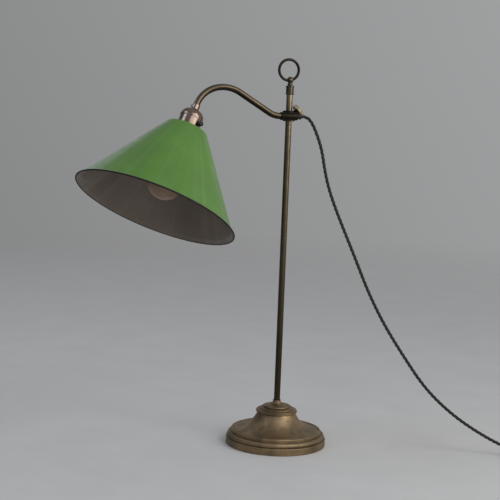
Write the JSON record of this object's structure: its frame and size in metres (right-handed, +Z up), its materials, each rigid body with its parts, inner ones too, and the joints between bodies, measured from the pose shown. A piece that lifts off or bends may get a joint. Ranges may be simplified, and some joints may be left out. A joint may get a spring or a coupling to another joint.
{
  "type": "rise and fall table lamp",
  "caption": "Brass table lamp: weighted round base, stem with a cross clamp that slides and swivels, swan neck arm, enamelled cone shade, carrying ring and twisted flex with a plug.",
  "frame": {"origin": "on the stem's axis, on the flat felt face that the base stands on", "axes": "+Z up along the stem, +X along the clamp's barrel, away from the shade"},
  "size_m": [0.8285, 0.3099, 0.6148],
  "materials": {
    "aged_brass": "aged brass with an olive brown patina, brighter where hands rub it",
    "polished_brass": "polished antique brass, slightly pink",
    "enamel": "vitreous enamel, green outside and white inside, with a dark rim",
    "cast_iron": "rough cast",
    "felt": "dark green wool felt",
    "steel": "zinc plated",
    "black_moulding": "black moulding",
    "insulator": "cream insulating moulding",
    "bulb_cap_metal": "bright pressed cap",
    "bulb_glass": "amber tinted clear glass",
    "flex": "three cores in braided fabric, twisted together",
    "tie": "dark strap",
    "pin_brass": "bright brass"
  },
  "bodies": {
    "root": {"base_shell": "aged_brass", "base_weight": "cast_iron", "base_felt": "felt", "stem_washer": "steel", "stem_nut": "steel", "stem_foot": "aged_brass", "stem": "aged_brass", "finial_ferrule": "aged_brass", "finial_stud": "aged_brass", "cord_hanging": "flex", "cord_coil": "flex", "cord_tie": "tie", "plug_cover": "black_moulding", "plug_base": "black_moulding", "plug_pins": "pin_brass", "plug_screw": "steel"},
    "ring": {"carrying_ring": "aged_brass"},
    "slider": {"slide_bush": "aged_brass", "cord_upper": "flex"},
    "clamp": {"clamp_body": "aged_brass"},
    "thumbscrew": {"clamp_screw": "aged_brass", "clamp_knob": "aged_brass"},
    "arm": {"arm_tube": "aged_brass", "tail_bush": "black_moulding", "arm_cord": "flex", "holder_entry": "polished_brass", "entry_grub_screw": "steel", "entry_nut": "steel", "holder_cap": "polished_brass", "holder_body": "polished_brass", "terminal_block": "insulator", "contact_plungers": "steel", "shade_ring": "black_moulding", "shade": "enamel", "bulb_cap": "bulb_cap_metal", "bulb_glass": "bulb_glass"},
    "switch": {"switch_bar": "black_moulding"}
  },
  "joints": [
    {"name": "arm_lift", "type": "slide", "parent": "root", "child": "slider", "axis": [0, 0, 1], "range_m": [-0.29, 0.017], "deforming": ["cord_hanging"]},
    {"name": "arm_swivel", "type": "hinge", "parent": "slider", "child": "clamp", "pos_m": [0, 0, 0.525], "axis": [0, 0, 1], "range_deg": [-120, 120], "deforming": ["cord_upper"]},
    {"name": "arm_roll", "type": "hinge", "parent": "clamp", "child": "arm", "pos_m": [0, -0.01265, 0.525], "axis": [1, 0, 0], "range_deg": [-25, 55]},
    {"name": "thumbscrew_turn", "type": "hinge", "parent": "clamp", "child": "thumbscrew", "pos_m": [0, 0, 0.522], "axis": [0.7986, 0, 0.6018], "range_deg": [0, 360]},
    {"name": "switch_push", "type": "slide", "parent": "arm", "child": "switch", "axis": [0.524, -0.8517, -0.0104], "range_m": [-0.006, 0]},
    {"name": "ring_swing", "type": "hinge", "parent": "root", "child": "ring", "pos_m": [0, 0, 0.581], "axis": [1, 0, 0], "range_deg": [-130, 130]}
  ]
}
